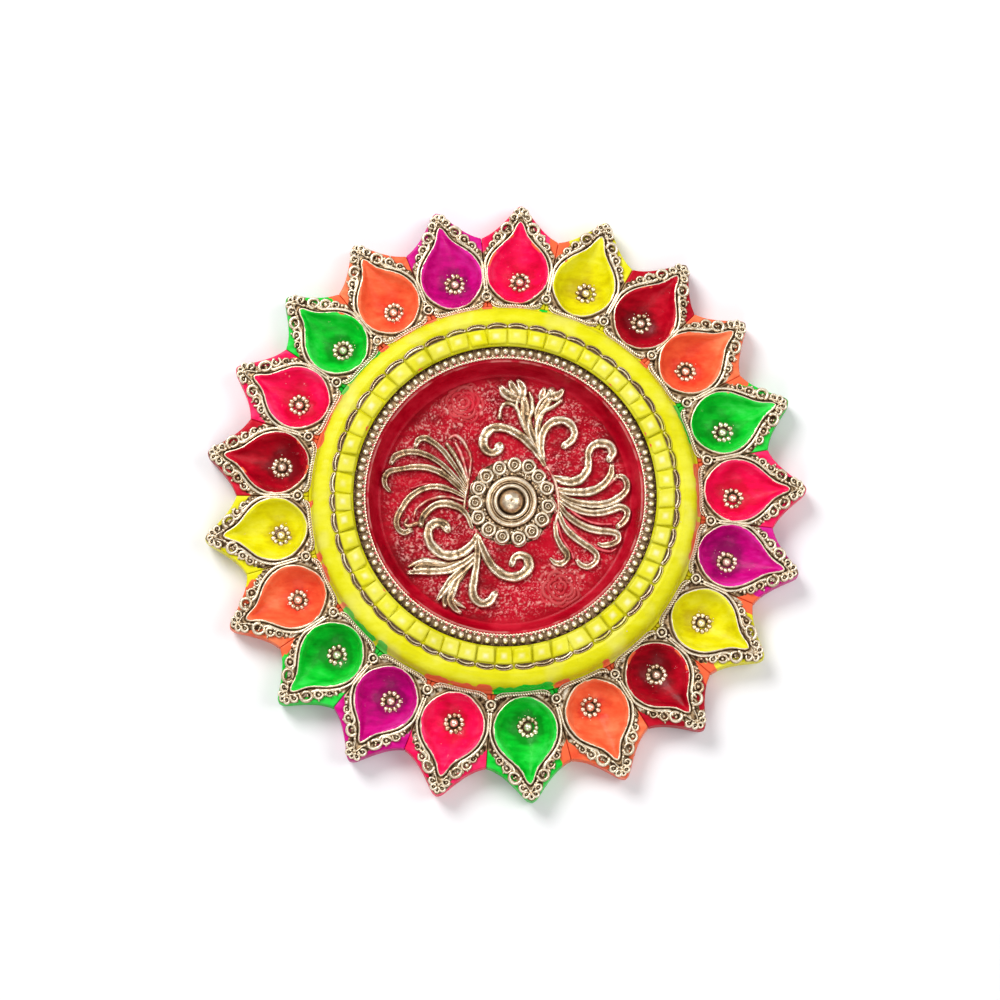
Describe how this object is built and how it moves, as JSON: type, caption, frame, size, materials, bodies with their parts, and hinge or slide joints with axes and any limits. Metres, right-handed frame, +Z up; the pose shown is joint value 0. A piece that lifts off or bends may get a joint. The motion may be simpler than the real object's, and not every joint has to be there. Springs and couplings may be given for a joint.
{
  "type": "diya oil lamp",
  "caption": "Round clay diya plate with a ring of teardrop oil-lamp cups, a raised beaded and tiled rim, and a sunk centre dish with scrollwork relief.",
  "frame": {"origin": "on the plate's upright axis, at the level it rests on", "axes": "+Z up out of the dish; +Y towards the pink cup at the back, +X to the right of it; no front, cups all round"},
  "size_m": [0.2985, 0.2992, 0.0269],
  "materials": {
    "paint_pink": "satin acrylic paint on fired clay",
    "paint_yellow": "satin acrylic paint on fired clay",
    "paint_crimson": "satin acrylic paint on fired clay",
    "paint_orange": "satin acrylic paint on fired clay",
    "paint_green": "satin acrylic paint on fired clay",
    "paint_purple": "satin acrylic paint on fired clay",
    "gold_paint": "metallic champagne-gold paint on fired clay relief",
    "red_paint": "satin acrylic paint on fired clay, bare terracotta underneath"
  },
  "bodies": {
    "root": {"thali_body": "red_paint", "rim_band": "paint_yellow", "tile_band": "paint_yellow", "tile_arch_trim": "gold_paint", "bead_string": "gold_paint", "inner_rope": "gold_paint", "base_rope": "gold_paint", "junction_beads": "gold_paint", "diya_cup_01": "paint_pink", "diya_cup_02": "paint_yellow", "diya_cup_03": "paint_crimson", "diya_cup_04": "paint_orange", "diya_cup_05": "paint_green", "diya_cup_06": "paint_pink", "diya_cup_07": "paint_purple", "diya_cup_08": "paint_yellow", "diya_cup_09": "paint_crimson", "diya_cup_10": "paint_orange", "diya_cup_11": "paint_green", "diya_cup_12": "paint_pink", "diya_cup_13": "paint_purple", "diya_cup_14": "paint_green", "diya_cup_15": "paint_orange", "diya_cup_16": "paint_yellow", "diya_cup_17": "paint_crimson", "diya_cup_18": "paint_pink", "diya_cup_19": "paint_green", "diya_cup_20": "paint_orange", "diya_cup_21": "paint_purple", "cup_trim_01": "gold_paint", "cup_trim_02": "gold_paint", "cup_trim_03": "gold_paint", "cup_trim_04": "gold_paint", "cup_trim_05": "gold_paint", "cup_trim_06": "gold_paint", "cup_trim_07": "gold_paint", "cup_trim_08": "gold_paint", "cup_trim_09": "gold_paint", "cup_trim_10": "gold_paint", "cup_trim_11": "gold_paint", "cup_trim_12": "gold_paint", "cup_trim_13": "gold_paint", "cup_trim_14": "gold_paint", "cup_trim_15": "gold_paint", "cup_trim_16": "gold_paint", "cup_trim_17": "gold_paint", "cup_trim_18": "gold_paint", "cup_trim_19": "gold_paint", "cup_trim_20": "gold_paint", "cup_trim_21": "gold_paint", "cup_studs": "gold_paint", "rosette_ring": "gold_paint", "medallion_disc": "gold_paint", "centre_boss": "gold_paint", "spray_top": "gold_paint", "spray_left": "gold_paint", "spray_right": "gold_paint", "spray_bottom": "gold_paint", "rose_sprigs": "red_paint"}
  },
  "joints": []
}
